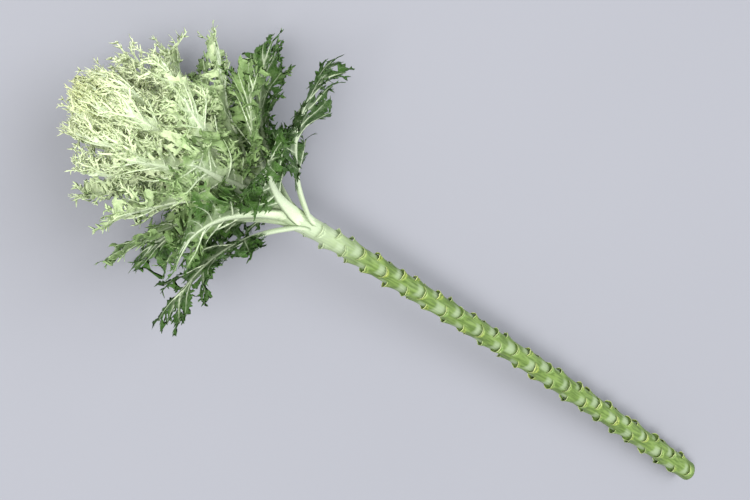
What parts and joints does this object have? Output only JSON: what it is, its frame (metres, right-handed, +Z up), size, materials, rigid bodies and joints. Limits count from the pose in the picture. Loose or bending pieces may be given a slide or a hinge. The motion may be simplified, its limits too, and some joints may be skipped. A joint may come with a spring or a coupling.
{
  "type": "ornamental kale stem",
  "caption": "Cut stem of feather-leaved ornamental kale lying on a surface: a stub-ringed stalk with a dense head of finely cut green to cream leaves.",
  "frame": {"origin": "on the surface that the stem lies on, under the middle of the object's footprint", "axes": "+X along the stalk from the cut end to the crown of the head, +Z up, +Y to the left when looking along +X"},
  "size_m": [0.6214, 0.2116, 0.1679],
  "materials": {
    "stalk": "fresh pale green, waxy bloom, with yellow-green leaf stubs",
    "green_leaf": "matt green leaf with a waxy bloom and pale midrib",
    "pale_leaf": "creamy white leaf with green tips and a white midrib",
    "cream_leaf": "tender cream to pale yellow leaf"
  },
  "bodies": {
    "root": {"stalk": "stalk", "heart": "cream_leaf", "outer_leaf_01": "green_leaf", "outer_leaf_02": "green_leaf", "outer_leaf_03": "green_leaf", "outer_leaf_04": "green_leaf", "outer_leaf_05": "green_leaf", "outer_leaf_06": "green_leaf", "outer_leaf_07": "green_leaf", "outer_leaf_08": "green_leaf", "outer_leaf_09": "green_leaf", "outer_leaf_10": "green_leaf", "outer_leaf_11": "green_leaf", "outer_leaf_12": "green_leaf", "outer_leaf_13": "green_leaf", "outer_leaf_14": "green_leaf", "outer_leaf_15": "green_leaf", "outer_leaf_16": "green_leaf", "middle_leaf_01": "pale_leaf", "middle_leaf_02": "pale_leaf", "middle_leaf_03": "pale_leaf", "middle_leaf_04": "pale_leaf", "middle_leaf_05": "pale_leaf", "middle_leaf_06": "pale_leaf", "middle_leaf_07": "pale_leaf", "middle_leaf_08": "pale_leaf", "middle_leaf_09": "pale_leaf", "middle_leaf_10": "pale_leaf", "middle_leaf_11": "pale_leaf", "middle_leaf_12": "pale_leaf", "middle_leaf_13": "pale_leaf", "middle_leaf_14": "pale_leaf", "middle_leaf_15": "pale_leaf", "middle_leaf_16": "pale_leaf", "middle_leaf_17": "pale_leaf", "middle_leaf_18": "pale_leaf", "inner_leaf_01": "cream_leaf", "inner_leaf_02": "cream_leaf", "inner_leaf_03": "cream_leaf", "inner_leaf_04": "cream_leaf", "inner_leaf_05": "cream_leaf", "inner_leaf_06": "cream_leaf", "inner_leaf_07": "cream_leaf", "inner_leaf_08": "cream_leaf", "inner_leaf_09": "cream_leaf", "inner_leaf_10": "cream_leaf", "inner_leaf_11": "cream_leaf", "inner_leaf_12": "cream_leaf", "inner_leaf_13": "cream_leaf", "inner_leaf_14": "cream_leaf"}
  },
  "joints": []
}
